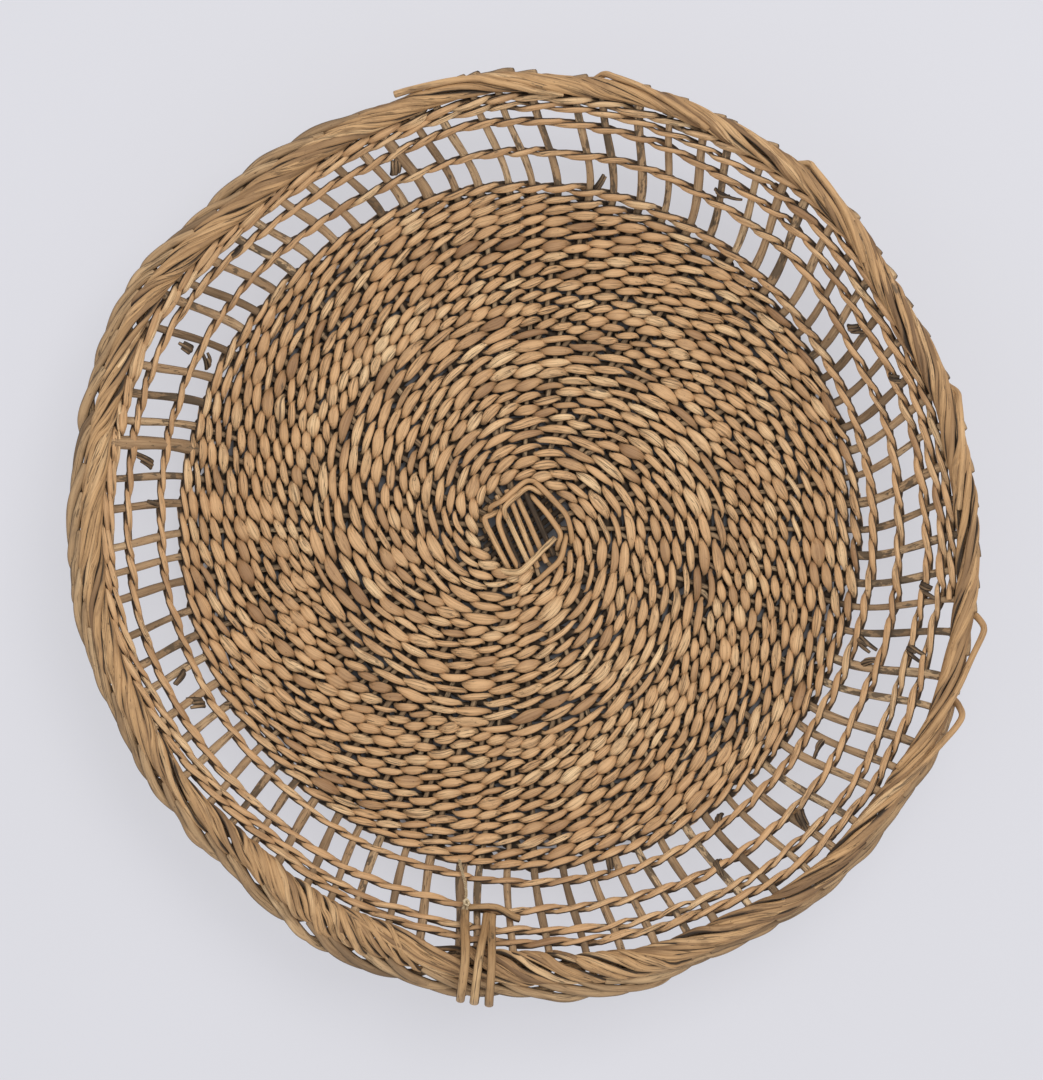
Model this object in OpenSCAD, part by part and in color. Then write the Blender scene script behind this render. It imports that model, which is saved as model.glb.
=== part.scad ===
// Round winnowing basket: a paired-weave disc on radiating stakes, an openwork side and a
// thick laid border.  Millimetres, +Z up.  The origin is the centre of the base, on the
// surface that the basket stands on.

/* [Overall form] */
// Radius of the flat part of the base
base_flat_r = 160; // [155:1:165]
// Radius of the bend from base to side, on the stakes' centreline
bend_r = 45; // [43:1:48]
// Slope of the side above the level, in degrees
side_angle = 48; // [46:1:50]
// Length of the straight side, from the end of the bend to the middle of the border
side_len = 70; // [69:0.5:73]

/* [Stakes] */
// Number of stakes at the rim
stake_count = 82; // [78:2:84]
// Radius of a stake
stake_r = 1.75; // [1.5:0.05:1.8]
// Distance from the centre at which one stake in four starts
long_stake_start = 24.5; // [24.5:0.5:26]
// Distance from the centre at which the second set of stakes starts
middle_stake_start = 62; // [58:1:80]
// Distance from the centre at which the rest of the stakes start
short_stake_start = 118; // [100:1:130]

/* [Slath] */
// Number of sticks laid each way in the cross at the centre
slath_sticks = 5; // [3:2:5]
// Radius of a cross stick
slath_stick_r = 1.6; // [1.4:0.05:1.6]
// Distance between neighbouring cross sticks
slath_pitch = 5.2; // [4.2:0.1:5.4]
// Turn of the cross about the vertical, in degrees
slath_turn = 27; // [0:1:90]
// Length and width of the tie that binds the cross
slath_tie_size = [38, 30]; // [26:1:38]
// Radius of the rod that makes the tie
slath_tie_r = 1.75; // [1.4:0.05:1.75]

/* [Weaving] */
// Number of rounds from the cross to the top of the bend
base_rounds = 24; // [20:1:24]
// Distance along a stake from the centre to the first round
first_round = 27.4; // [27.2:0.1:28]
// Distance along a stake between neighbouring base rounds
round_pitch = 7.4; // [6:0.1:7.4]
// Radius of the two rods of a round
weaver_r = 2; // [1.6:0.05:2]
// Number of flat rounds whose underside is worn level
worn_rounds = 4; // [1:1:6]
// Radius of the thicker rods of the worn rounds
worn_weaver_r = 2.15; // [2.05:0.05:2.2]
// Places up the straight side of the single openwork round and the two rounds above it
side_round_places = [28, 46, 56]; // [10:1:56]

/* [Border] */
// Radius of the five rods laid round in the border
border_rod_r = 3.2; // [2.6:0.1:3.3]
// Radius of the two rods of the plait outside the border
plait_rod_r = 2.4; // [1.8:0.1:2.5]

/* [Lashing and string] */
// Radius of the lashing rod
lashing_r = 2.2; // [1.6:0.1:2.2]
// Directions of the three wraps, in degrees clockwise from the front seen from above
lashing_angles = [3.8, 5.05, 8.8]; // [3.8:0.05:9]
// Place of the lashing's tail up the straight side
tail_place = 36.5; // [34.5:0.5:37]
// Directions of the tail's two ends, in degrees clockwise from the front seen from above
tail_span = [1.5, 10.5]; // [0.5:0.5:11]
// Direction of the string's knot on the tail, in degrees clockwise from the front
knot_angle = 8.7; // [8.5:0.1:8.9]
// Radius of the cotton string
string_r = 0.9; // [0.8:0.05:1]
// Radius of the small twigs that stray out of the border
stray_rod_r = 2; // [1.5:0.1:2]

/* [Hidden] */
// Room left between neighbours that touch
gap = 0.05;
// Room between the cross and the stakes, and between the lower tie and the ground
slath_room = 1.5;
tie_lift = 0.3;
// Sides of a swept rod and of the swept string
rod_sides = 10;
string_sides = 8;
// Height of the stakes' centreline over the base
stake_z = 2 * weaver_r + gap + stake_r;
// How far a round's two rods lie from the stakes' centreline
ply_inset = stake_r + gap + weaver_r;
bend_len = bend_r * side_angle * PI / 180;
flat_rounds = floor((base_flat_r - first_round) / round_pitch) + 1;
// How far the border's parts lie along the stakes from its middle, and inward from them
border_inset = stake_r + gap + border_rod_r;
border_step = border_rod_r + gap;
top_rod_step = border_step + sqrt(pow(2 * border_step, 2) - pow(border_inset, 2));
border_spots = [
    [-border_step, border_inset],
    [-border_step, -border_inset],
    [border_step, border_inset],
    [border_step, -border_inset],
    [top_rod_step, 0]
];
plait_reach = border_rod_r + plait_rod_r + gap;
plait_directions = [-55, -110];
plait_spots = [
    for (a = plait_directions) border_spots[1] + plait_reach * [cos(a), sin(a)]
];
// The string's route from the knot down the inside of the openwork side
string_route = [
    [-31.5, -206.5, 53], [-31.5, -206, 51], [-31.5, -205, 49], [-31.5, -204, 47],
    [-32, -202.5, 45], [-32, -201, 43], [-32.5, -199.5, 41], [-33, -198, 39],
    [-33.5, -196.5, 37], [-34, -195, 35], [-34.5, -194, 33], [-35, -192.5, 31.5],
    [-35.5, -191.5, 30], [-35.5, -190.5, 28.5], [-36, -189.5, 27]
];
// Routes of the two stray rods: direction in degrees, distance from the centre, height
stray_routes = [
    [[-20, 251.2, 69.5], [-18.5, 251.4, 69.6], [-16.5, 251.8, 70], [-14, 252.8, 70.5],
     [-12, 253.4, 71], [-11.3, 252.6, 71], [-10.8, 251.6, 70.2]],
    [[-33, 251.2, 69.5], [-30, 251.3, 69.7], [-27, 251.9, 70], [-23.5, 252.8, 70.5],
     [-22.6, 253.2, 71], [-22, 252.4, 71], [-21.6, 251.6, 70.2]]
];

function base_round_name(i) = str("base_round_", i < 9 ? "0" : "", i + 1);

// ---- Geometry of the side ----

// Distance along a stake from the basket's centre to a place on the straight side
function on_side(place) = base_flat_r + bend_len + place;

// [radius, height] at distance u along a stake and n inward from its centreline
function profile(u, n = 0) =
    let (
        turned = min(max(u - base_flat_r, 0), bend_len),
        a = turned / bend_r * 180 / PI,
        straight = max(u - base_flat_r - bend_len, 0),
        start = min(u, base_flat_r)
    )
    [start + (bend_r - n) * sin(a) + straight * cos(a),
     stake_z + bend_r - (bend_r - n) * cos(a) + straight * sin(a)];

// A border spot as [radius, height]
function border_point(spot) = profile(on_side(side_len + spot[0]), spot[1]);

// Direction of stake i, in degrees from +X
function stake_angle(i) = -90 + (i + 0.5) * 360 / stake_count;

function around(radius, angle, z) = [radius * cos(angle), radius * sin(angle), z];

// ---- Rods ----

// One rod laid in a full circle, its middle at [radius, height]
module ring_rod(at, r) {
    rotate_extrude($fn = 180) translate(at) circle(r, $fn = 48);
}

// One round of pairing: one rod inside the stakes and one outside them
module pairing_round(u, r) {
    for (side = [-1, 1]) ring_rod(profile(u, side * (stake_r + gap + r)), r);
}

function unit(v) = v / norm(v);

// Corners of a tube about a path; ref is a direction that the path never follows
function tube_corners(path, r, sides, ref, closed) = [
    for (i = [0 : len(path) - 1])
        let (
            last = len(path) - 1,
            before = closed ? path[(i + last) % (last + 1)] : path[max(i - 1, 0)],
            after = closed ? path[(i + 1) % (last + 1)] : path[min(i + 1, last)],
            along = unit(after - before),
            across = unit(cross(ref, along)),
            up = cross(along, across)
        )
        for (k = [0 : sides - 1])
            path[i] + r * (cos(k * 360 / sides) * across + sin(k * 360 / sides) * up)
];

module tube(path, r, sides, ref, closed = false) {
    rings = len(path);
    spans = closed ? rings : rings - 1;
    skin = [
        for (i = [0 : spans - 1]) for (k = [0 : sides - 1])
            let (j = (i + 1) % rings, m = (k + 1) % sides)
            [i * sides + k, j * sides + k, j * sides + m, i * sides + m]
    ];
    ends = closed ? [] : [
        [for (k = [0 : sides - 1]) k],
        [for (k = [sides - 1 : -1 : 0]) (rings - 1) * sides + k]
    ];
    polyhedron(tube_corners(path, r, sides, ref, closed), concat(skin, ends));
}

// ---- Centre cross ----

module slath_layer(z) {
    reach = long_stake_start - slath_room;
    middle = (slath_sticks - 1) / 2;
    for (k = [-middle : middle]) {
        half = sqrt(pow(reach, 2) - pow(k * slath_pitch, 2));
        translate([-half, k * slath_pitch, z])
            rotate([0, 90, 0])
            cylinder(h = 2 * half, r = slath_stick_r, $fn = 32);
    }
}

// Height of the under layer, which lies on the lower tie
slath_under_z = 2 * slath_tie_r + gap + slath_stick_r + tie_lift;
slath_over_z = slath_under_z + 2 * slath_stick_r + gap;

module slath_sticks_under() {
    color("saddlebrown") rotate([0, 0, slath_turn]) slath_layer(slath_under_z);
}

module slath_sticks_over() {
    color("burlywood") rotate([0, 0, slath_turn + 90]) slath_layer(slath_over_z);
}

// A rod bent round the cross as a rectangle with round corners
module slath_tie(z) {
    corner = 8;
    half = [slath_tie_size[0] / 2 - corner, slath_tie_size[1] / 2 - corner];
    rotate([0, 0, slath_turn + 90]) translate([0, 0, z]) {
        for (sx = [0, 1]) rotate([0, 0, sx * 180]) {
            translate([-half[0], half[1] + corner, 0])
                rotate([0, 90, 0]) cylinder(h = 2 * half[0], r = slath_tie_r, $fn = 32);
            translate([half[0] + corner, half[1], 0])
                rotate([90, 0, 0]) cylinder(h = 2 * half[1], r = slath_tie_r, $fn = 32);
            translate([half[0], half[1], 0])
                rotate_extrude(angle = 90, $fn = 96)
                translate([corner, 0]) circle(slath_tie_r, $fn = 32);
            translate([half[0], -half[1], 0]) rotate([0, 0, -90])
                rotate_extrude(angle = 90, $fn = 96)
                translate([corner, 0]) circle(slath_tie_r, $fn = 32);
        }
    }
}

module slath_tie_lower() {
    color("tan") slath_tie(slath_tie_r + tie_lift);
}

module slath_tie_upper() {
    color("tan") slath_tie(slath_over_z + slath_stick_r + gap + slath_tie_r);
}

// ---- Stakes ----

// Straight base stakes: every step-th one, counted from first
module base_stakes(first, step, start) {
    for (i = [first : step : stake_count - 1])
        rotate([0, 0, stake_angle(i)])
        translate([start, 0, stake_z])
        rotate([0, 90, 0])
        cylinder(h = base_flat_r - start, r = stake_r, $fn = 32);
}

module base_stakes_long() {
    color("peru") base_stakes(0, 4, long_stake_start);
}

module base_stakes_middle() {
    color("peru") base_stakes(2, 4, middle_stake_start);
}

module base_stakes_short() {
    color("peru") base_stakes(1, 2, short_stake_start);
}

// A side stake follows the bend and runs straight up into the border.  It is drawn from the
// end of the bend, with the straight part along +X and the bend behind it.
module side_stake() {
    into_border = top_rod_step - border_rod_r - 2 * gap;
    translate([base_flat_r, 0, stake_z + bend_r]) rotate([0, -side_angle, 0]) {
        mirror([1, 0, 0]) rotate([90, 0, 0]) rotate([0, 0, -90])
            rotate_extrude(angle = side_angle, $fn = 180)
            translate([bend_r, 0]) circle(stake_r, $fn = 32);
        translate([0, 0, -bend_r])
            rotate([0, 90, 0])
            cylinder(h = side_len + into_border, r = stake_r, $fn = 32);
    }
}

module side_stakes() {
    color("sienna")
        for (i = [0 : stake_count - 1]) rotate([0, 0, stake_angle(i)]) side_stake();
}

// ---- Weaving ----

// Base round i, counted from the centre; the last flat ones are worn level underneath
module base_round(i) {
    u = first_round + i * round_pitch;
    worn = i < flat_rounds && i >= flat_rounds - worn_rounds;
    color(i % 2 == 0 ? "burlywood" : "tan")
    if (worn) {
        difference() {
            pairing_round(u, worn_weaver_r);
            translate([0, 0, -1]) cylinder(h = 1, r = 2 * base_flat_r, $fn = 96);
        }
    } else {
        pairing_round(u, weaver_r);
    }
}

module side_round(k) {
    color("burlywood") pairing_round(on_side(side_round_places[k]), weaver_r);
}

// ---- Border ----

module border_rod(k) {
    color(k % 2 == 0 ? "goldenrod" : "darkgoldenrod")
        ring_rod(border_point(border_spots[k]), border_rod_r);
}

module border_plait(k) {
    color("khaki") ring_rod(border_point(plait_spots[k]), plait_rod_r);
}

// ---- Lashing ----

// Everything that a wrap goes round: [place along the stakes, inset, radius]
wrapped_rods = concat(
    [for (s = border_spots) [s[0], s[1], border_rod_r]],
    [for (s = plait_spots) [s[0], s[1], plait_rod_r]],
    [for (k = [1, 2]) for (side = [-1, 1])
        [side_round_places[k] - side_len, side * ply_inset, weaver_r]]
);

// The point that a tight wrap takes in direction t: on the rod that reaches furthest
function wrap_point(t) =
    let (
        toward = [cos(t), sin(t)],
        reaches = [for (w = wrapped_rods) [w[0], w[1]] * toward + w[2]],
        rod = wrapped_rods[search(max(reaches), reaches)[0]]
    )
    [rod[0], rod[1]] + (rod[2] + lashing_r + gap) * toward;

module lashing_wrap(angle) {
    step = 15;
    path = [
        for (t = [0 : step : 360 - step])
            let (p = border_point(wrap_point(t))) [p[0], 0, p[1]]
    ];
    rotate([0, 0, angle]) tube(path, lashing_r, rod_sides, [0, 1, 0], closed = true);
}

module lashing_wraps() {
    color("chocolate") for (a = lashing_angles) lashing_wrap(-90 - a);
}

// The tail lies along the inside of the stakes, clear of the rounds above and below it
tail_at = profile(on_side(tail_place), stake_r + gap + lashing_r);

module lashing_tail() {
    color("chocolate")
        rotate([0, 0, -90 - tail_span[1]])
        rotate_extrude(angle = tail_span[1] - tail_span[0], $fn = 360)
        translate(tail_at) circle(lashing_r, $fn = 48);
}

// ---- String ----

// Two turns of string about the lashing's tail, and the knot on top of them
module string_knot() {
    turn_r = lashing_r + gap + string_r;
    knot_r = 1.9;
    lift = turn_r + string_r + knot_r + gap;
    color("ivory") rotate([0, 0, -90 - knot_angle]) translate([tail_at[0], 0, tail_at[1]]) {
        for (side = [-1, 1])
            translate([0, side * (string_r + gap), 0])
            rotate([90, 0, 0])
            rotate_extrude($fn = 96) translate([turn_r, 0]) circle(string_r, $fn = 32);
        translate([-lift * sin(side_angle), 0, lift * cos(side_angle)])
            sphere(knot_r, $fn = 48);
    }
}

module tag_string() {
    color("ivory") tube(string_route, string_r, string_sides, [1, 0, 0]);
}

// ---- Stray rods ----

module stray_rods() {
    color("darkkhaki") for (route = stray_routes)
        tube([for (p = route) around(p[1], p[0], p[2])], stray_rod_r, rod_sides, [0, 0, 1]);
}

slath_sticks_over();
slath_sticks_under();
slath_tie_upper();
slath_tie_lower();
base_stakes_long();
base_stakes_middle();
base_stakes_short();
side_stakes();
for (i = [0 : base_rounds - 1])
    base_round(i);
side_round(0);  // openwork_round
side_round(1);  // upper_round_1
side_round(2);  // upper_round_2
for (k = [0 : len(border_spots) - 1])
    border_rod(k);
border_plait(0);  // border_plait_1
border_plait(1);  // border_plait_2
lashing_wraps();
lashing_tail();
string_knot();
tag_string();
stray_rods();
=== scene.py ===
"""Winnowing basket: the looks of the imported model, woven rod by rod around its frame.

Bearings run clockwise from the back (+Y) as seen from above, in radians.  A stake's number
runs the same way.  Along a stake, u is the distance from the basket's centre and n the
distance inward from the stakes' centreline.  Lengths are in metres; MM stands for one
millimetre of the design.
"""
import math

import bpy
import numpy as np
from mathutils import Matrix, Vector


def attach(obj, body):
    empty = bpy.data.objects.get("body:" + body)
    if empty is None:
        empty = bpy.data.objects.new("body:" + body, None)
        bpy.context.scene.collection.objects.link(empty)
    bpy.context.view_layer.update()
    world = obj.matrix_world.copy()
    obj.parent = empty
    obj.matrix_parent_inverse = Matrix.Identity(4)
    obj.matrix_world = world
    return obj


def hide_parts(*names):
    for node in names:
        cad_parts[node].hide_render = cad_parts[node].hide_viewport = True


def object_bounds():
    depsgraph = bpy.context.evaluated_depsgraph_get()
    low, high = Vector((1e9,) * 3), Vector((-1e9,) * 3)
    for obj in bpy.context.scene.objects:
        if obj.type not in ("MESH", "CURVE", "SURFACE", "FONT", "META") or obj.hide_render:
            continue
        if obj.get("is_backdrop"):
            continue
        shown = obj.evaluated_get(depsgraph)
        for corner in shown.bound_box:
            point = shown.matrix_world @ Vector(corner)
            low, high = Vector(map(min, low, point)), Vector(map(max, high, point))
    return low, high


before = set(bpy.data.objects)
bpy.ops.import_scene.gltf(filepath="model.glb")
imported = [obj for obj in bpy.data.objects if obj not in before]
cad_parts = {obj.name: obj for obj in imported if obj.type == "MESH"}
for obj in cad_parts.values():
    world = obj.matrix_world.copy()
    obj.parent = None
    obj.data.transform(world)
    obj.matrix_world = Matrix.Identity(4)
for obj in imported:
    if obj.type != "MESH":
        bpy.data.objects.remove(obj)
cad_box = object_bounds()

MM = 0.001
TAU = 2 * math.pi
rng = np.random.default_rng(11)

# The design's main sizes, as in the CAD
BASE_FLAT = 160 * MM
BEND = 45 * MM
SLOPE = math.radians(48)
BEND_LEN = BEND * SLOPE
STAKE_Z = 5.8 * MM
STAKES = 82
PITCH = TAU / STAKES
TOP_U = BASE_FLAT + BEND_LEN + 71.3 * MM

# ---------------------------------------------------------------- small helpers


def rise(low, high, x):
    """0 below low, 1 above high, and an even rise between them."""
    t = np.clip((np.asarray(x, float) - low) / (high - low), 0, 1)
    return t * t * (3 - 2 * t)


def unit(v):
    v = np.asarray(v, float)
    return v / np.maximum(np.linalg.norm(v, axis=-1, keepdims=True), 1e-12)


def spline(points, count):
    """count points along a smooth curve that passes through every given point."""
    p = np.asarray(points, float)
    p = np.vstack([2 * p[0] - p[1], p, 2 * p[-1] - p[-2]])
    t = np.linspace(0, len(p) - 3 - 1e-9, count)
    k = t.astype(int)
    f = (t - k)[:, None]
    a, b, c, d = p[k], p[k + 1], p[k + 2], p[k + 3]
    return 0.5 * (
        2 * b + (c - a) * f + (2 * a - 5 * b + 4 * c - d) * f**2 + (3 * b - 3 * c + d - a) * f**3
    )


def between(values, x):
    """Values given at whole numbers, eased between them."""
    k = np.clip(np.floor(x).astype(int), 0, len(values) - 2)
    f = np.clip(x - k, 0, 1)
    f = f * f * (3 - 2 * f)
    return values[k] * (1 - f) + values[k + 1] * f


def waves(count, slowest, fastest):
    """A random smooth function of an angle, about 1 in size, the same after a full turn."""
    turns = rng.integers(slowest, fastest + 1, count)
    starts = rng.uniform(0, TAU, count)
    size = math.sqrt(2 / count)
    return lambda a: size * sum(np.sin(k * a + s) for k, s in zip(turns, starts))


# ---------------------------------------------------------------- the basket's form


def turned(u):
    """The stakes' slope at u, in radians above the level."""
    return np.clip(u - BASE_FLAT, 0, BEND_LEN) / BEND


def profile(u, n=0.0):
    """Radius and height at u and n."""
    u = np.asarray(u, float)
    slope = turned(u)
    straight = np.maximum(u - BASE_FLAT - BEND_LEN, 0)
    radius = np.minimum(u, BASE_FLAT) + (BEND - n) * np.sin(slope) + straight * np.cos(slope)
    height = STAKE_Z + BEND - (BEND - n) * np.cos(slope) + straight * np.sin(slope)
    return radius, height


# How far age has pushed the rim out of round, in millimetres, every 20 degrees of bearing
RIM_SWAY = np.array([5, 6, 6.5, -1, 2, 7, 9.5, 9.5, 5.5, 1, -3, -7.5, -5.5, -4.5, -4, 0, -5, -2])
rim_up_down = waves(4, 2, 5)


def every_20_degrees(values, bearing):
    """Values given every 20 degrees of bearing from the back, eased between them."""
    steps = np.mod(bearing, TAU) / math.radians(20)
    return between(np.append(values, values[0]), steps)


def around(bearing, radius, height):
    """A point of the basket, which age has made uneven towards the rim."""
    bearing, radius, height = np.broadcast_arrays(bearing, radius, height)
    high = rise(185 * MM, 245 * MM, radius)
    radius = radius + MM * high * every_20_degrees(RIM_SWAY, bearing)
    height = height + 0.9 * MM * high * rim_up_down(bearing)
    return np.stack([radius * np.sin(bearing), radius * np.cos(bearing), height], -1)


def place(bearing, u, n=0.0):
    return around(bearing, *profile(u, n))


def inward(bearing, u):
    """The direction square to the basket's surface, on its inner side."""
    slope = turned(u)
    level = -np.sin(slope)
    bearing, level, slope = np.broadcast_arrays(bearing, level, slope)
    return np.stack([level * np.sin(bearing), level * np.cos(bearing), np.cos(slope)], -1)


# Every stake stands a little off its even place, and the side's stakes lean as they rise
shift_low = rng.normal(0, 0.05, STAKES) * PITCH
shift_high = rng.normal(0, 0.10, STAKES) * PITCH


def looped(values, x):
    """Values given once for each stake, eased between stakes."""
    x = np.mod(x, STAKES)
    return between(np.append(values, values[0]), x)


def bearing_of(index, u):
    """The bearing at u of a stake number, which may lie between two stakes."""
    even = math.pi + (index - 0.5) * PITCH
    shift = looped(shift_low, index) * rise(90 * MM, 140 * MM, u)
    shift = shift + looped(shift_high, index) * rise(150 * MM, 250 * MM, u)
    lean = np.radians(1.9 * np.cos(even - math.radians(225)) - 3.1)
    return even + shift + lean * rise(195 * MM, 270 * MM, u)


# ---------------------------------------------------------------- rods


# A rod's cut end is one more ring, this much of the rod's size and this many sizes further out
CUT_SIZE = 0.72
CUT_OUT = 0.18


class Rods:
    """Gathers swept rods of one piece, with what their material reads, and makes the mesh."""

    def __init__(self, sides=12):
        self.sides = sides
        self.points, self.faces = [], []
        self.facts = {"rod": [], "tint": [], "grime": [], "bark": []}
        self.count = 0

    def add(
        self, path, up, wide, high=None, tint=0.0, grime=0.0, below=None, bark=0.0, groove=0.0,
        sides_dirt=0.8,
    ):
        """A rod along path.  up points out of its top, wide and high are half its size across,
        groove is the depth of a split along its top, as a part of its height, below is the
        underside's darkening, painted shade, where it isn't the top's, and sides_dirt is the
        painted shade that the sides have beyond both."""
        path = np.asarray(path, float)
        wide = np.broadcast_to(wide, len(path)).astype(float)
        high = wide * 0.95 if high is None else np.broadcast_to(high, len(path)).astype(float)
        steps = np.linalg.norm(np.diff(path, axis=0), axis=1)
        along = unit(np.gradient(path, axis=0))
        up = np.broadcast_to(up, path.shape)
        first = path[0] - along[0] * wide[0] * CUT_OUT
        last = path[-1] + along[-1] * wide[-1] * CUT_OUT
        path = np.vstack([first, path, last])
        along = np.vstack([along[:1], along, along[-1:]])
        up = np.vstack([up[:1], up, up[-1:]])
        wide = np.concatenate([[wide[0] * CUT_SIZE], wide, [wide[-1] * CUT_SIZE]])
        high = np.concatenate([[high[0] * CUT_SIZE], high, [high[-1] * CUT_SIZE]])
        distance = np.concatenate([[0, 0], np.cumsum(steps), [steps.sum()]])
        across = unit(np.cross(along, up))
        top = np.cross(across, along)
        rings, sides = len(path), self.sides
        angle = np.arange(sides) * TAU / sides
        upward = np.tile(np.sin(angle), (rings, 1))
        grooved = upward.copy()
        grooved[1:-1, sides // 4] *= 1 - np.broadcast_to(groove, rings - 2)
        side_off = wide[:, None] * np.cos(angle)
        top_off = high[:, None] * grooved
        points = (
            path[:, None]
            + side_off[..., None] * across[:, None]
            + top_off[..., None] * top[:, None]
        )
        ring = np.arange(rings - 1)[:, None] * sides + self.count
        k = np.arange(sides)
        after = (k + 1) % sides
        quads = np.stack([ring + k, ring + after, ring + sides + after, ring + sides + k], -1)
        self.faces += quads.reshape(-1, 4).tolist()
        self.faces.append((self.count + k[::-1]).tolist())
        self.faces.append((self.count + (rings - 1) * sides + k).tolist())
        self.points.append(points.reshape(-1, 3))
        start = rng.uniform(0, 5)
        straightened = np.stack(
            [np.repeat(distance[:, None] + start, sides, 1), side_off + start, top_off], -1
        )
        self.facts["rod"].append(straightened.reshape(-1, 3))

        def round_the_rod(values):
            """One value, or one for each point of the path, given to whole rings."""
            values = np.broadcast_to(values, rings - 2)
            return np.repeat(np.concatenate([values[:1], values, values[-1:]]), sides)

        upward = upward.ravel()
        grime = round_the_rod(grime)
        # The underside can take its own darkening, which the weaving uses for painted shade on
        # hidden faces
        if below is not None:
            part = rise(-0.25, 0.25, -upward)
            grime = grime * (1 - part) + round_the_rod(below) * part
        # The sides of each rod are darkened as painted shade
        grime = np.clip(grime + sides_dirt * (1 - np.abs(upward)) ** 1.2, 0, 1)
        self.facts["tint"].append(round_the_rod(tint))
        self.facts["grime"].append(grime)
        self.facts["bark"].append(round_the_rod(bark))
        self.count += rings * sides

    def piece(self, name, nodes, slot):
        """Makes the gathered rods one object, which stands for the named CAD nodes."""
        mesh = bpy.data.meshes.new(name)
        mesh.from_pydata(np.vstack(self.points).tolist(), [], self.faces)
        mesh.shade_smooth()
        for fact, values in self.facts.items():
            kind, key = ("FLOAT_VECTOR", "vector") if fact == "rod" else ("FLOAT", "value")
            flat = np.concatenate(values).astype(np.float32).ravel()
            mesh.attributes.new(fact, kind, "POINT").data.foreach_set(key, flat)
        mesh.materials.append(materials[slot])
        obj = bpy.data.objects.new(name, mesh)
        bpy.context.scene.collection.objects.link(obj)
        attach(obj, "root")
        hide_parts(*nodes)
        return obj


# ---------------------------------------------------------------- materials


def srgb(red, green, blue):
    """A screen colour, 0 to 255 a channel, as the linear colour that a shader takes."""
    values = [c / 255 for c in (red, green, blue)]
    return tuple(v / 12.92 if v <= 0.04045 else ((v + 0.055) / 1.055) ** 2.4 for v in values)


class Shader:
    """A material's node tree, with a short way to add a node."""

    def __init__(self, name):
        self.material = bpy.data.materials.new(name)
        self.material.use_nodes = True
        self.tree = self.material.node_tree
        self.main = self.tree.nodes["Principled BSDF"]

    def node(self, kind, inputs, output=0, **settings):
        made = self.tree.nodes.new(kind)
        for key, value in settings.items():
            setattr(made, key, value)
        for key, value in inputs.items():
            self.put(made.inputs[key], value)
        return made.outputs[output]

    def put(self, socket, value):
        if isinstance(value, bpy.types.NodeSocket):
            self.tree.links.new(value, socket)
        elif isinstance(value, tuple) and socket.type == "RGBA":
            socket.default_value = (*value, 1)
        else:
            socket.default_value = value

    def fact(self, name):
        kind = 1 if name == "rod" else 2
        return self.node("ShaderNodeAttribute", {}, kind, attribute_name=name)

    def noise(self, vector, stretch, detail=3.0, roughness=0.55):
        """Noise on the straightened rod; stretch is its features a metre along and across."""
        scaled = self.node(
            "ShaderNodeVectorMath",
            {0: vector, 1: (stretch[0], stretch[1], stretch[1])},
            operation="MULTIPLY",
        )
        inputs = {"Vector": scaled, "Scale": 1.0, "Detail": detail, "Roughness": roughness}
        return self.node("ShaderNodeTexNoise", inputs)

    def spread(self, value, low, high, to_low=0.0, to_high=1.0):
        inputs = {0: value, 1: low, 2: high, 3: to_low, 4: to_high}
        return self.node("ShaderNodeMapRange", inputs, interpolation_type="SMOOTHSTEP")

    def maths(self, operation, *values):
        return self.node("ShaderNodeMath", dict(enumerate(values)), operation=operation)

    def layer(self, value, low, high, amount):
        """How much of a layer shows where value rises from low to high, up to amount."""
        return self.maths("MULTIPLY", self.spread(value, low, high), amount)

    def bumps(self, strength, depth, height):
        inputs = {"Strength": strength, "Distance": depth, "Height": height}
        self.put(self.main.inputs["Normal"], self.node("ShaderNodeBump", inputs))

    def mix(self, amount, a, b, blend="MIX"):
        inputs = {"Factor": amount, 6: a, 7: b}
        return self.node("ShaderNodeMix", inputs, 2, data_type="RGBA", blend_type=blend)


# Dark brown for specks, cracks, soiling and painted shade
GRIME_AND_SHADE_BROWN = srgb(48, 40, 33)
BARK = srgb(84, 72, 58)


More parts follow.
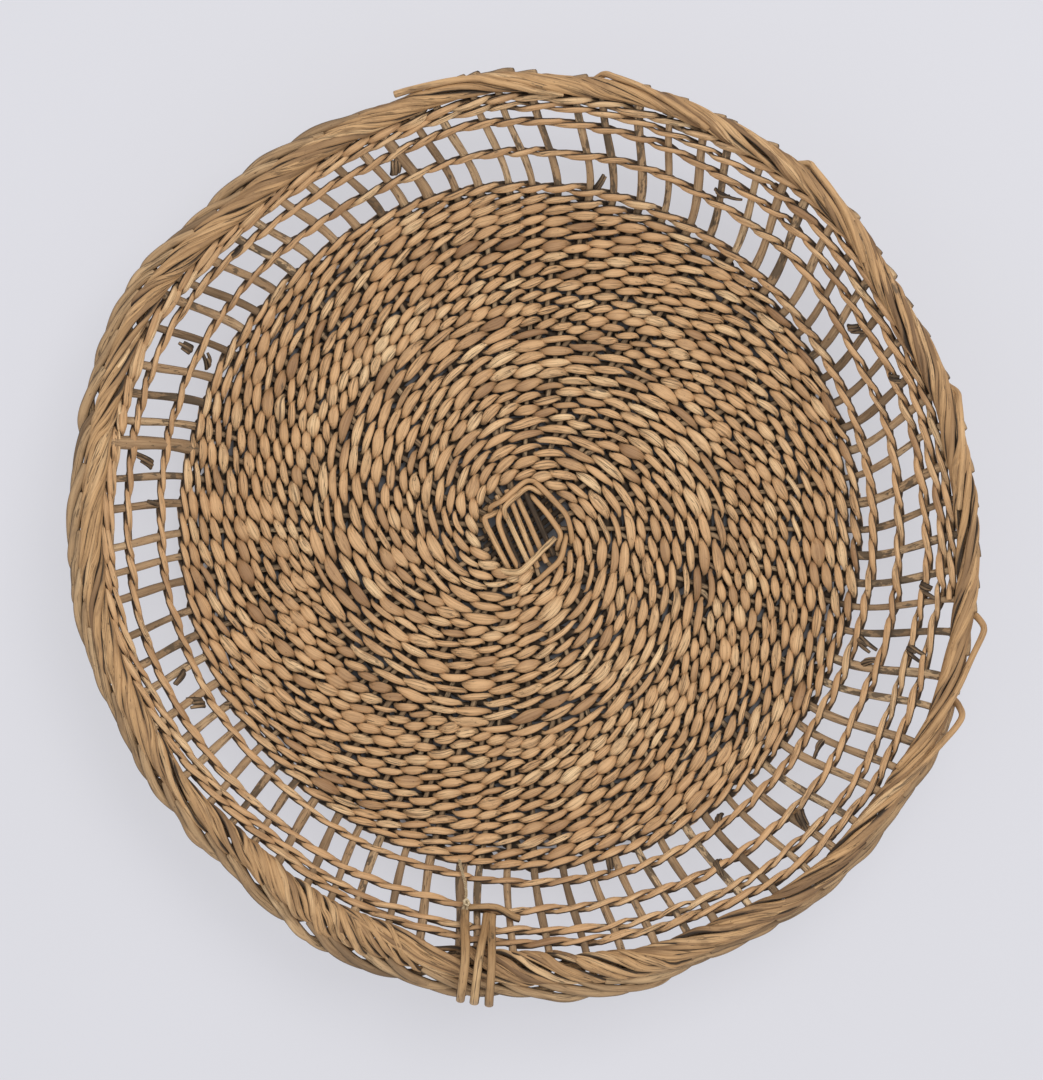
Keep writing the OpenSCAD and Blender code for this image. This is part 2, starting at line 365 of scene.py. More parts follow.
def willow(name, dark, middle, light, speckle, gloss):
    """Dry willow: fibres and stains along each rod, specks, bark left in patches, soiling and
    painted shade.
    """
    s = Shader(name)
    rod = s.fact("rod")
    fibres = s.noise(rod, (45, 1300), 5.0, 0.66)
    stains = s.noise(rod, (60, 190), 4.0, 0.62)
    cloudy = s.noise(rod, (14, 40), 2.0)
    specks = s.noise(rod, (420, 900), 2.0)
    own = s.spread(cloudy, 0.25, 0.75, 0.22, 0.78)
    tone = s.maths("MULTIPLY_ADD", s.fact("tint"), 0.30, own)
    colour = s.mix(s.spread(tone, 0.0, 0.5), dark, middle)
    colour = s.mix(s.spread(tone, 0.5, 1.0), colour, light)
    between_fibres = s.maths("SUBTRACT", 1.0, s.spread(fibres, 0.34, 0.60))
    darker = s.mix(1.0, colour, (0.50, 0.44, 0.38), "MULTIPLY")
    colour = s.mix(s.maths("MULTIPLY", between_fibres, 0.62), colour, darker)
    colour = s.mix(s.layer(stains, 0.52, 0.72, 0.6), colour, dark)
    colour = s.mix(s.layer(specks, 0.66, 0.74, speckle), colour, GRIME_AND_SHADE_BROWN)
    more_bark = s.maths("MULTIPLY", s.fact("bark"), 0.34)
    patches = s.maths("ADD", s.noise(rod, (85, 210), 4.0, 0.6), more_bark)
    colour = s.mix(s.layer(patches, 0.72, 0.80, 0.85), colour, BARK)
    # Cracks along the rod, in the drier stretches
    split = s.maths("ABSOLUTE", s.maths("SUBTRACT", s.noise(rod, (22, 620), 2.0, 0.5), 0.5))
    dry = s.spread(cloudy, 0.42, 0.56)
    cracks = s.maths("MULTIPLY", s.spread(split, 0.004, 0.022, 1.0, 0.0), dry)
    colour = s.mix(s.maths("MULTIPLY", cracks, 0.75), colour, GRIME_AND_SHADE_BROWN)
    # Dirt lies where hands have not worn it off, and painted shade on the rods' sides and hidden
    # faces, both with a ragged edge
    ragged = s.maths(
        "ADD", s.spread(fibres, 0.3, 0.7, -0.16, 0.16), s.spread(stains, 0.3, 0.7, -0.12, 0.12)
    )
    soil_and_shade = s.maths("ADD", s.fact("grime"), ragged)
    colour = s.mix(s.layer(soil_and_shade, 0.0, 0.55, 0.4), colour, dark)
    colour = s.mix(s.layer(soil_and_shade, 0.34, 0.78, 0.95), colour, GRIME_AND_SHADE_BROWN)
    s.put(s.main.inputs["Base Color"], colour)
    rough = s.spread(fibres, 0.3, 0.75, *gloss)
    rough = s.maths("ADD", rough, s.maths("MULTIPLY", s.fact("grime"), 0.2))
    s.put(s.main.inputs["Roughness"], rough)
    s.main.inputs["Specular IOR Level"].default_value = 0.3
    raised = s.maths("MULTIPLY_ADD", cracks, -0.8, s.maths("MULTIPLY", patches, 0.8))
    s.bumps(0.75, 0.45 * MM, s.maths("MULTIPLY_ADD", fibres, 1.0, raised))
    return s.material


def cotton(name):
    """Old cotton: fine fibres wound along each strand, a little soiled, with painted shade on the
    strands' sides.
    """
    s = Shader(name)
    rod = s.fact("rod")
    fibres = s.noise(rod, (260, 5200), 4.0, 0.65)
    soil = s.noise(rod, (90, 300), 3.0)
    colour = s.mix(s.spread(fibres, 0.3, 0.7), srgb(190, 168, 128), srgb(238, 224, 194))
    colour = s.mix(s.spread(soil, 0.5, 0.75, 0.0, 0.5), colour, srgb(160, 126, 84))
    # Soil and the painted shade on the strands' sides darken it towards brown
    colour = s.mix(s.fact("grime"), colour, srgb(120, 92, 60))
    s.put(s.main.inputs["Base Color"], colour)
    s.main.inputs["Roughness"].default_value = 0.92
    s.main.inputs["Specular IOR Level"].default_value = 0.2
    s.bumps(0.7, 0.12 * MM, fibres)
    return s.material


# Each willow's dark, middle and light tones, how much its specks show, and its roughness
# between the fibres and on them
WILLOWS = {
    "slath_willow": (
        srgb(146, 112, 76), srgb(206, 164, 118), srgb(232, 196, 148), 0.3, (0.5, 0.72),
    ),
    "stake_willow": (
        srgb(120, 98, 74), srgb(182, 150, 114), srgb(218, 188, 148), 0.8, (0.6, 0.82),
    ),
    "weaver_willow": (
        srgb(156, 120, 86), srgb(214, 172, 126), srgb(238, 204, 158), 0.45, (0.5, 0.74),
    ),
    "border_willow": (
        srgb(132, 102, 72), srgb(196, 156, 110), srgb(226, 190, 144), 0.5, (0.52, 0.76),
    ),
    "plait_willow": (
        srgb(124, 100, 74), srgb(180, 148, 110), srgb(212, 180, 138), 0.5, (0.55, 0.78),
    ),
    "lashing_willow": (
        srgb(120, 94, 64), srgb(176, 140, 98), srgb(208, 172, 126), 0.4, (0.48, 0.7),
    ),
}
materials = {name: willow(name, *look) for name, look in WILLOWS.items()}
materials["cotton_string"] = cotton("cotton_string")

# ---------------------------------------------------------------- camera and string

CAMERA_PLACE = (0.0, 0.03, 1.58)
CAMERA_TARGET = (-0.0003, -0.005, 0.075)
LENS = 94


def aim(obj, spot, target, top=(0, 1, 0)):
    """Stands obj at spot, looking at target, with top upward in its view."""
    back = unit(np.subtract(spot, target))
    right = unit(np.cross(top, back))
    rows = [[right[k], np.cross(back, right)[k], back[k], spot[k]] for k in range(3)]
    obj.matrix_world = Matrix([*rows, [0, 0, 0, 1]])


def add_camera():
    data = bpy.data.cameras.new("camera")
    data.lens = LENS
    data.sensor_fit = "HORIZONTAL"
    data.sensor_width = 36
    data.clip_start = 0.05
    data.clip_end = 20
    camera = bpy.data.objects.new("camera", data)
    bpy.context.scene.collection.objects.link(camera)
    aim(camera, CAMERA_PLACE, CAMERA_TARGET)
    bpy.context.scene.camera = camera


# The string's route from its knot down the inside of the side, as in the CAD
STRING_ROUTE = MM * np.array([
    [-31.5, -206.5, 53], [-31.5, -206, 51], [-31.5, -205, 49], [-31.5, -204, 47],
    [-32, -202.5, 45], [-32, -201, 43], [-32.5, -199.5, 41], [-33, -198, 39],
    [-33.5, -196.5, 37], [-34, -195, 35], [-34.5, -194, 33], [-35, -192.5, 31.5],
    [-35.5, -191.5, 30], [-35.5, -190.5, 28.5], [-36, -189.5, 27],
])
STRING_THICK = 1.8 * MM
STRAND = 0.46 * MM
STRAND_OFF = 0.42 * MM
TWIST = 5.5 * MM
FRAYED_FIBRES = 9


def lay_strands(rods, path, up, fray=0.0):
    """Three strands twisted about a path; fray is how far they part at its end."""
    along = unit(np.gradient(path, axis=0))
    across = unit(np.cross(along, up))
    top = np.cross(across, along)
    distance = np.concatenate([[0], np.cumsum(np.linalg.norm(np.diff(path, axis=0), axis=1))])
    part = rise(distance[-1] - 5 * MM, distance[-1], distance)
    for k in range(3):
        a = distance / TWIST * TAU + k * TAU / 3
        off = (STRAND_OFF + fray * part)[:, None]
        line = path + off * (np.cos(a)[:, None] * across + np.sin(a)[:, None] * top)
        rods.add(line, up, STRAND * (1 - 0.35 * part), grime=0.12 * rng.uniform(0, 1))


def make_string():
    rods = Rods(sides=8)
    path = spline(STRING_ROUTE, 150)
    lay_strands(rods, path, (1, 0, 0), fray=0.35 * MM)
    end, along = path[-1], unit(path[-1] - path[-4])
    s = np.linspace(0, 1, 7)[:, None]
    for _ in range(FRAYED_FIBRES):
        away = unit(along + rng.normal(0, 0.28, 3))
        line = end + MM * (-1.5 + 3.7 * s) * away
        line = line + MM * s**2 * rng.normal(0, 0.3, 3)
        rods.add(line, (1, 0, 0), np.linspace(0.14, 0.06, 7) * MM)
    string = rods.piece("frayed_string", ["tag_string"], "cotton_string")


add_camera()
make_string()

# ---------------------------------------------------------------- weaving

# The rods pair up in one long spiral.  Turns count from the place where the openwork leaves
# the base, seven stakes before the front, and u is given at some of them.
FIRST_INDEX = -7
SPIRAL_TURNS = [
    0, 23.2, 23.6, 23.75, 24.05, 24.25, 24.5, 24.75, 25.05, 25.25, 25.45, 25.7, 25.95, 26.05,
    26.4, 26.7, 26.95, 27.05, 27.3, 28,
]
SPIRAL_U = MM * np.array([
    26.9, 197.7, 200.5, 205, 210, 211, 223, 226.5, 228, 238, 246, 241.5, 246, 242,
    257, 252, 256, 250, 259, 262,
])
# How far the open side's rounds stray outward, in millimetres, every 20 degrees of bearing
ROW_SWAY = np.array([0, 0.5, 0.5, 0, -1, -1, -0.5, 3, 2.5, 0.5, 0, -0.5, 0.5, 2.5, 1, 1.5, 1, -2])
BASE_ROUNDS = 24
ROUNDS = 27
# The last round's rods run on past a full turn, under the border
SPIRAL_END = 27.9
# Stake numbers at which the weaving opens from 21 stakes to 41, and then to all 82
OPENS_TO_41 = 5 * STAKES + 2
OPENS_TO_82 = 12 * STAKES + 40

# Half a weaving rod's size in the base, how much thinner it is in the openwork, how far a float
# slants to each side of its row, and the points along each pass over or under a stake
WEAVER_R, OPEN_THINNER = 2.15, 0.2
SLANT, OPEN_LESS_SLANT = 2.4, 0.7
PASS_POINTS = 9

worn = waves(4, 2, 7)
drift_low = [waves(3, 2, 5) for _ in range(3)]
# Only the first of these is used; the rest keep their place in the order of random draws
drift_high = [waves(4, 4, 14) for _ in range(3)]


def is_long(index):
    """Whether a stake is one of the 21 that start at the cross."""
    number = index % STAKES
    return number == 0 or number % 4 == 2


def is_passed(index):
    if index < OPENS_TO_41:
        return is_long(index)
    return index >= OPENS_TO_82 or index % 2 == 0


passes = np.array(
    [i for i in range(FIRST_INDEX, FIRST_INDEX + int(SPIRAL_END * STAKES)) if is_passed(i)], float
)


def spiral_u(index):
    """u of the spiral's middle at a stake number, with the drift of hand weaving."""
    turn = (index - FIRST_INDEX) / STAKES
    u = np.interp(turn, SPIRAL_TURNS, SPIRAL_U)
    a = index * PITCH
    sway = sum(w(a + u / (60 * MM) * k) for k, w in enumerate(drift_low)) * 0.45 * MM
    loose = rise(203 * MM, 216 * MM, u) * (1 - 0.6 * rise(246 * MM, 262 * MM, u))
    sway = sway * rise(30 * MM, 90 * MM, u)
    sway = sway + MM * every_20_degrees(ROW_SWAY, math.pi + a) * rise(206 * MM, 222 * MM, u)
    return u + sway + loose * drift_high[0](a + np.floor(turn)) * 0.5 * MM


def weaver_runs(weaver):
    """Where each rod of one weaver starts and ends, in passes; the ends are underneath."""
    start = 1 - weaver
    while start < len(passes) - 4:
        index = passes[start]
        low, high = (3, 6) if index < OPENS_TO_41 else (5, 11) if index < OPENS_TO_82 else (7, 17)
        end = start + 2 * rng.integers(low, high + 1)
        if end > len(passes) - 6:
            end = len(passes) - 1
        yield start, end
        start = end


def habits():
    """What each pass of one weaver over or under a stake has of its own."""
    count = len(passes) + 2
    return {
        "width": np.clip(rng.normal(1, 0.16, count), 0.66, 1.4),
        "shift": rng.normal(0, 0.45, count) * MM,
        "lift": rng.normal(0, 0.18, count) * MM,
        "slant": np.clip(rng.normal(1, 0.22, count), 0.5, 1.5),
        "tone": rng.normal(0, 0.22, count),
        "split": (rng.uniform(0, 1, count) < 0.2) * rng.uniform(0.4, 0.9, count),
    }


def weave_rod(rounds, weaver, start, end, own):
    """One rod of a weaver, from one pass to another, in the round where it starts."""
    last_pass = len(passes) - 1
    m = np.linspace(start - 0.35, min(end + 0.35, last_pass), (end - start) * PASS_POINTS)
    m = np.maximum(m, 0)
    index = np.interp(m, np.arange(len(passes)), passes)
    turn = (index - FIRST_INDEX) / STAKES
    u = spiral_u(index)
    open_side = rise(192 * MM, 204 * MM, u)
    # Each float runs straight from one crossing to the next
    phase = math.pi * (m + weaver)
    over, beside = np.cos(phase), np.arcsin(np.sin(phase)) * 2 / math.pi
    size = np.clip(rng.normal(1, 0.1), 0.8, 1.25) * (WEAVER_R - OPEN_THINNER * open_side) * MM
    size = size * np.linspace(1.08, 0.90, len(m))
    high = size * (0.84 - 0.16 * open_side)
    # A float narrows to a point a little beyond each crossing
    crossing, middle_wide = 0.42 + 0.28 * open_side, 0.88 - 0.36 * open_side
    beyond = np.where(over > -0.28, (over + 0.28) / 1.28, -(over + 0.28) / 0.72)
    wide = size * (crossing + middle_wide * beyond**0.72)
    wide = wide * (1 + (between(own["width"], m) - 1) * (1 - 0.4 * open_side))
    # Below the stakes the rods spread and close the gaps of the base
    wide = wide * (1 + 0.3 * rise(0, 0.5, -over) * (1 - open_side))
    slant = (SLANT - OPEN_LESS_SLANT * open_side) * MM * between(own["slant"], m)
    half_stake = (1.7 - 0.6 * open_side) * MM
    n = (half_stake + high) * over * (1.6 - 0.6 * over**2) + between(own["lift"], m)
    # On the slope of the side the front rod rides a little above the rear one
    u = u + slant * beside + between(own["shift"], m) + 0.6 * n * turned(u) / SLOPE
    bearing = bearing_of(index, u)
    # The face that is hidden behind the stakes is darkened as painted shade, and less so in the
    # openwork
    hidden_shade = 0.85 * (1 - 0.51 * open_side)
    grime, below = (hidden_shade * (1 - rise(-0.4, 0.1, face * over)) for face in (1, -1))
    points = place(bearing, u, n)
    points[:, 2] = np.maximum(points[:, 2], high)
    tint = rng.normal(0.1, 0.28) + between(own["tone"], m)
    rounds[min(int(turn[0]), ROUNDS - 1)].add(
        points,
        inward(bearing, u),
        wide,
        high,
        tint=tint + 0.2 * worn(index * PITCH + u / (45 * MM)),
        grime=grime,
        below=below,
        bark=0.25 * (rng.uniform() < 0.2),
        groove=own["split"][np.round(m).astype(int)] * rise(0.45, 0.8, over),
    )


def make_weaving():
    rounds = [Rods() for _ in range(ROUNDS)]
    for weaver in (0, 1):
        own = habits()
        for start, end in weaver_runs(weaver):
            weave_rod(rounds, weaver, start, end, own)
    names = [f"base_round_{k + 1:02d}" for k in range(BASE_ROUNDS)]
    names += ["openwork_round", "upper_round_1", "upper_round_2"]
    for name, rods in zip(names, rounds):
        rods.piece("woven_" + name, [name], "weaver_willow")


# ---------------------------------------------------------------- stakes


def opening_u(number, limit):
    """u at which the weaving first passes stakes the new way at a stake number."""
    index = limit + (number - limit) % STAKES
    return float(spiral_u(np.array([index], float))[0])


def stake_bearing(number, u):
    """A stake's bearing; an added stake starts beside its neighbour and parts from it."""
    own = bearing_of(number, u)
    if is_long(number):
        return own
    added_late = number % 2 == 1
    opens = opening_u(number, OPENS_TO_82 if added_late else OPENS_TO_41)
    neighbour = number - (1 if added_late else 2)
    beside = stake_bearing(neighbour, u) + 3.3 * MM / np.maximum(u, 20 * MM)
    part = rise(opens - 13 * MM, opens + 1 * MM, u)
    return beside * (1 - part) + own * part


# Half the size of the base's stakes, and of the side's at their feet and above the bend
BASE_STAKE_R = 1.65
FOOT_R = 1.7
SIDE_STAKE_R = 2.3
# Where the long stakes start, and how far inside their first round the added ones do
LONG_START = 22.5 * MM
HIDDEN_START = 15 * MM
# Two stakes of the side are old thick sticks
THICK_STAKES = (3, 24)
THICKER = 1.5
# Broken ends of added rods: bearing in degrees, u in millimetres, how many lie together, and
# how far they turn from the stakes' direction towards the round's, in degrees
STUBS = [
    (12, 210, 2, 20), (29.5, 238, 3, 75), (58, 238, 3, 25), (67, 248, 3, 30), (97.5, 246, 3, 15),
    (107.5, 214, 3, 20), (111, 222, 3, -30), (106.5, 246, 3, 15), (124.5, 223, 3, 80),
    (135, 240, 3, 20), (145, 210, 3, 35), (149, 234, 3, 10), (165, 205, 2, 5), (238, 200, 2, 20),
    (241, 225, 3, 20), (247, 228, 2, -25), (274, 225, 1, 10), (279.5, 234, 3, 15),
    (298, 232, 3, 5), (297, 215, 3, 40), (313, 252, 2, 80), (340, 234, 3, 15),
]


def make_stakes():
    kinds = {"long": Rods(), "middle": Rods(), "short": Rods()}
    side = Rods()
    for number in range(STAKES):
        if is_long(number):
            kind, start = "long", LONG_START
        elif number % 2 == 0:
            kind, start = "middle", opening_u(number, OPENS_TO_41) - HIDDEN_START
        else:
            kind, start = "short", opening_u(number, OPENS_TO_82) - HIDDEN_START
        size = rng.normal(1, 0.08) * MM
        tint = rng.normal(0, 0.5)
        u = np.linspace(start, BASE_FLAT, 30)
        b = stake_bearing(number, u)
        kinds[kind].add(
            place(b, u), inward(b, u), size * BASE_STAKE_R, tint=tint, grime=0.3, bark=0.5,
        )
        u = np.linspace(BASE_FLAT, TOP_U - 4 * MM, 48)
        b = bearing_of(np.full_like(u, number), u)
        wave = np.sin(u / (9 * MM) + rng.uniform(0, TAU))
        n = 0.25 * MM * wave * rise(160 * MM, 200 * MM, u)
        swell = 1 + 0.07 * np.sin(u / (7 * MM) + rng.uniform(0, TAU))
        above = SIDE_STAKE_R * (THICKER if number in THICK_STAKES else 1.0)
        width = size * swell * (FOOT_R + (above - FOOT_R) * rise(170 * MM, 200 * MM, u))
        grime = 0.32 * (1 - rise(190 * MM, 205 * MM, u)) + 0.05
        side.add(
            place(b, u, n), inward(b, u), width, tint=tint, grime=grime,
            bark=rng.choice([0.15, 0.45, 0.75], p=[0.4, 0.35, 0.25]), sides_dirt=0.55,
        )
    make_stubs(side)
    for kind, rods in kinds.items():
        rods.piece(f"stakes_{kind}", [f"base_stakes_{kind}"], "stake_willow")
    side.piece("stakes_of_side", ["side_stakes"], "stake_willow")


def make_stubs(rods):
    """Short broken rod ends that lie across the openwork beside the stakes."""
    for degrees, u, count, way in STUBS:
        for k in range(count):
            length = rng.uniform(6, 14) * MM
            turn = math.radians(way) + rng.normal(0, 0.05)
            s = np.linspace(0, 1, 12)
            us = (u - 5) * MM + s * length * math.cos(turn)
            bs = math.radians(degrees) + (1.7 * k * MM + s * length * math.sin(turn)) / (220 * MM)
            n = (2.2 + 0.9 * (k % 2) - 1.6 * (2 * s - 1) ** 2 + s * rng.uniform(-1, 1.5)) * MM
            width = rng.uniform(1.1, 1.7) * MM * (1 - 0.35 * s**2)
            rods.add(
                place(bs, us, n), inward(bs, us), width, width * 0.7,
                tint=-0.8, grime=0.38 + 0.2 * rng.uniform(), bark=0.6,
            )


make_weaving()
make_stakes()

# ---------------------------------------------------------------- cross at the centre

# Each layer of the cross: the direction of its sticks in degrees, the height of their middles,
# how far each stands from the centre, and how much darker each is made
OVER_STICKS = (114, 8.7, (-10.2, -5.1, 0, 5, 10.3), (0.75, 0.06, 0.06, 0.06, 0.75))
UNDER_STICKS = (40, 5.45, (-10, -4.8, 0.3, 5.2, 10.1), (0.85,) * 5)
STICK_R = 1.7
STICK_REACH = 24

# The rod bound over the cross, one list for each stretch of it that shows: x, y and height.
# Its inner course holds the upper sticks, and its outer course runs round them.
INNER_COURSE = [
    [(-11, 12, 7), (-12.8, 8.3, 11), (-13.3, 2.5, 12.3), (-9, -9, 12.4), (-3.2, -21.1, 9),
     (-2.4, -23.5, 6)],
    [(20, -12, 7), (20.9, -8.1, 11), (21.8, -2.3, 12.3), (15, 8, 12.4), (7.4, 16.9, 9.5),
     (5, 19.5, 6)],
    [(12, 20, 8), (9.3, 21.3, 11), (3.6, 23.7, 12.5), (-3, 19, 13), (-9.4, 13.1, 12.8),
     (-10, 9, 11), (-8.9, 5.4, 8)],
]
OUTER_COURSE = [
    [(-14, 10, 8), (-17.5, 8, 11), (-21.4, 5.4, 12), (-17, -5, 12.2), (-8.9, -20.6, 11),
     (-7, -24.5, 7)],
    [(-18.5, 9.5, 8), (-17.5, 12.8, 11), (-10.9, 16.6, 12.6), (-4, 22.5, 13), (2.6, 27.5, 12),
     (9.3, 27, 9)],
    [(6, 27, 8), (9.8, 24.8, 11.5), (18, 16.5, 12.6), (25.7, 7.3, 12.4), (28.6, -4.2, 10),
     (28.5, -8, 7)],
    [(25.5, -3.5, 8), (24.6, -8, 11), (21.9, -17.7, 12), (15, -24.5, 12), (8.4, -30.2, 9),
     (5, -31.5, 6)],
]
LOOSE_END = [
    (-13, -23.6, 9), (-8.5, -24.9, 12), (-1.2, -24.6, 13.6), (5, -19.2, 14.4), (12, -12, 14.8),
    (19, -5.2, 15),
]
# The rod bound under the cross: x and y of its corners before its turn, in degrees
LOW_CORNERS = [(-15, -19), (15, -19), (19, 0), (15, 19), (-15, 19), (-19, 0)]
LOW_TURN = 27
LOW_Z = 2.1


def bind(rods, points, size, tint, grime=0.12, count=36):
    """A rod bound over or under the cross, from points in millimetres."""
    path = spline(MM * np.array(points, float), count)
    swell = 1 + 0.06 * np.sin(np.linspace(0, 9, count) + rng.uniform(0, TAU))
    ends = rise(0, 0.12, np.linspace(0, 1, count)) * rise(0, 0.12, 1 - np.linspace(0, 1, count))
    # Each stretch darkens towards its ends, where it passes out of sight: painted shade
    rods.add(path, (0, 0, 1), size * MM * swell, tint=tint, grime=grime + 0.4 * (1 - ends))


def add_sticks(rods, degrees, height, places, how_dark):
    """One layer of the cross."""
    turn = math.radians(degrees)
    s = np.linspace(-1, 1, 30)[:, None]
    for k, (off, grime) in enumerate(zip(places, how_dark)):
        half = math.sqrt(STICK_REACH**2 - off**2)
        a = turn + rng.normal(0, 0.02)
        aside = np.array([math.sin(a), -math.cos(a)])
        xy = s * half * np.array([math.cos(a), math.sin(a)]) + off * aside
        z = height + 0.25 * np.sin(s * 4 + k)
        path = MM * np.hstack([xy, z])
        rods.add(path, (0, 0, 1), STICK_R * MM, tint=0.5, grime=grime, bark=0.1)


def make_cross():
    over, under, top, low = Rods(), Rods(), Rods(), Rods()
    add_sticks(over, *OVER_STICKS)
    add_sticks(under, *UNDER_STICKS)
    over.piece("cross_over", ["slath_sticks_over"], "slath_willow")
    under.piece("cross_under", ["slath_sticks_under"], "slath_willow")

    for points in INNER_COURSE:
        bind(top, points, 1.65, tint=0.35)
    for points in OUTER_COURSE:
        bind(top, points, 1.75, tint=0.2)
    bind(top, LOOSE_END, 1.95, tint=0.6, grime=0.0)
    top.piece("cross_binding", ["slath_tie_upper"], "slath_willow")

    cos, sin = math.cos(math.radians(LOW_TURN)), math.sin(math.radians(LOW_TURN))
    ring = [(x * cos - y * sin, x * sin + y * cos, LOW_Z) for x, y in LOW_CORNERS]
    bind(low, [*ring, ring[0], ring[1]], 1.7, tint=0.0, grime=0.2, count=80)
    low.piece("cross_binding_below", ["slath_tie_lower"], "slath_willow")


make_cross()

# ---------------------------------------------------------------- border

CORE_R, CORE_Z = profile(TOP_U, 0.0)
core_in_out = waves(5, 5, 15)
core_up_down = waves(5, 5, 15)

# Half the roll's width, in millimetres, every 20 degrees of bearing
ROLL_WIDTH = np.array([
    5.8, 5.7, 6.6, 7.3, 7.3, 6.3, 6.3, 7.2, 8.8, 11.2, 12.2, 9.2, 7.2, 7, 7, 7.4, 7.4, 6.4,
])
PLAIN_WIDTH = 6.9
# Half the size of the roll's rods and of the plait's
ROLL_ROD_R = 2.0
PLAIT_ROD_R = 2.7
# One rod's way round the roll: stakes on from its own, degrees about the roll's core from
# straight outward through the top, and distance from the core in millimetres
ROLL = [
    (0, -125, 9), (0.02, -122, 6.2), (0.25, -85, 5.1), (0.55, -40, 4.9), (0.9, 0, 4.8),
    (1.5, 40, 4.8), (2.2, 75, 4.7), (2.9, 112, 4.6), (3.6, 150, 4.5), (4.2, 182, 4.3),
    (4.9, 222, 3.6), (5.6, 262, 2.6), (6.2, 292, 1.8),
]
# One rod's way in the plait below the roll: it comes up from under the one before it and
# goes in beneath the roll's own rods
SCALLOP = [
    (0, -120, 4.5), (0.3, -76, 7), (0.7, -44, 10.2), (1.2, -28, 12.2), (1.8, -19, 12.2),
    (2.4, -13, 10.4), (2.9, -6, 8), (3.4, 0, 5.4),
]


def apart(bearing, degrees):
    """How far a bearing is from one given in degrees, either way round, in degrees."""
    turn = np.degrees(bearing) - degrees
    return np.abs((turn + 180) % 360 - 180)


def plait_shows(bearing):
    """How far the plait stands out from under the roll, from 0 to 1: well on the left, and
    slightly at the lower right."""
    strong = 1 - rise(80, 98, apart(bearing, 248))
    slight = 1 - rise(22, 34, apart(bearing, 140))
    return np.maximum(strong, 0.7 * slight)


def run_of_rods(bearing):
    """How far round the rim the roll's rods run, where 1 is their usual run."""
    fan = 1 - rise(8, 20, apart(bearing, 206))
    hairpins = 1 - rise(8, 20, apart(bearing, 171))
    flatter = 1 - rise(3, 9, apart(bearing, 190))
    return 1 - 0.55 * fan - 0.35 * hairpins + 0.4 * flatter


def roll_points(number, way, follows=1.0):
    """Points, and directions away from the core, of a way round the roll from a stake.
    follows is how far the way widens where the roll does."""
    on, angle, reach = np.asarray(way, float).T
    index = number + on
    u = np.full_like(index, TOP_U)
    bearing = bearing_of(index, u)
    wider = 1 + follows * (every_20_degrees(ROLL_WIDTH, bearing) / PLAIN_WIDTH - 1)
    angle, reach = np.radians(angle), reach * MM
    core_r = CORE_R + MM + 0.5 * MM * core_in_out(bearing)
    core_z = CORE_Z + 0.6 * MM * core_up_down(bearing)
    level_reach = reach * wider * np.cos(angle)
    # The roll grows wider more than it grows tall
    path = around(bearing, core_r + level_reach, core_z + reach * wider**0.35 * np.sin(angle))
    level = np.cos(angle)
    away = np.stack([level * np.sin(bearing), level * np.cos(bearing), np.sin(angle)], -1)
    return path, away


def roll_rod(rods, number, run, from_stake):
    """One rod of the roll; run is how far it goes round the rim, beside its usual run. A rod
    that isn't bent over from a stake begins out of sight below the core."""
    run = run * np.clip(rng.normal(1, 0.09), 0.75, 1.3)
    way = np.array(ROLL, float)
    way[2:, 0] += rng.normal(0, 0.12)
    way[4:, 0] = way[4, 0] + (way[4:, 0] - way[4, 0]) * run
    way[3:, 1] += rng.normal(0, 4, len(way) - 3) + rng.normal(0, 6)
    way[2:, 2] *= np.clip(rng.normal(1, 0.07), 0.85, 1.2)
    way[3:, 2] += rng.normal(0, 0.3, len(way) - 3)
    way = spline(way if from_stake else way[2:], 76)
    path, away = roll_points(number, way)
    s = np.linspace(0, 1, len(path))
    size = ROLL_ROD_R * MM * np.clip(rng.normal(1, 0.17), 0.7, 1.4)
    size = size * (0.74 + 0.26 * rise(0, 0.14, s)) * (1.06 - 0.3 * s)
    size = size * (1 + 0.04 * np.sin(s * 40 + rng.uniform(0, TAU)))
    # Where a rod runs round the underside of the roll, it is darkened as painted shade
    under = rise(110, 190, way[:, 1]) + 1 - rise(-110, -20, way[:, 1])
    # The rim is darker towards the right, as painted shade
    x, y, _ = path[40]
    toward_shaded_right = math.sin(math.atan2(x, y))
    tint = rng.normal(0, 0.5) + 0.3 * np.sin(s * 5 + rng.uniform(0, TAU))
    rods.add(
        path, away, size * 1.04, size * 0.92, tint=tint - 0.3 * (1 + toward_shaded_right),
        grime=np.clip(0.3 * under, 0, 0.8), sides_dirt=0.95,
        bark=rng.choice([0.0, 0.15, 0.3], p=[0.55, 0.3, 0.15]),
        groove=0.5 * (rng.uniform() < 0.2) * rise(0.25, 0.32, s) * (1 - rise(0.6, 0.68, s)),
    )


def plait_rod(rods, number):
    """One long shallow loop of the plait, which shows below the roll on most of the rim."""
    out = float(plait_shows(bearing_of(number + 2.0, TOP_U)))
    way = np.array(SCALLOP, float)
    way[1:-1, 1] += rng.normal(0, 4, len(way) - 2) - 40 * (1 - out)
    way[1:-1, 2] = 5 + (way[1:-1, 2] - 5) * (0.2 + 0.8 * out) + rng.normal(0, 0.5)
    way[:, 0] += rng.normal(0, 0.2)
    path, _ = roll_points(number, spline(way, 44), follows=0.7)
    size = PLAIT_ROD_R * MM * np.clip(rng.normal(1, 0.12), 0.8, 1.25)
    rods.add(
        path, (0, 0, 1), size, size * 0.92,
        tint=rng.normal(0.1, 0.5), grime=0.12 * rng.uniform(), bark=0.15, sides_dirt=0.85,
    )


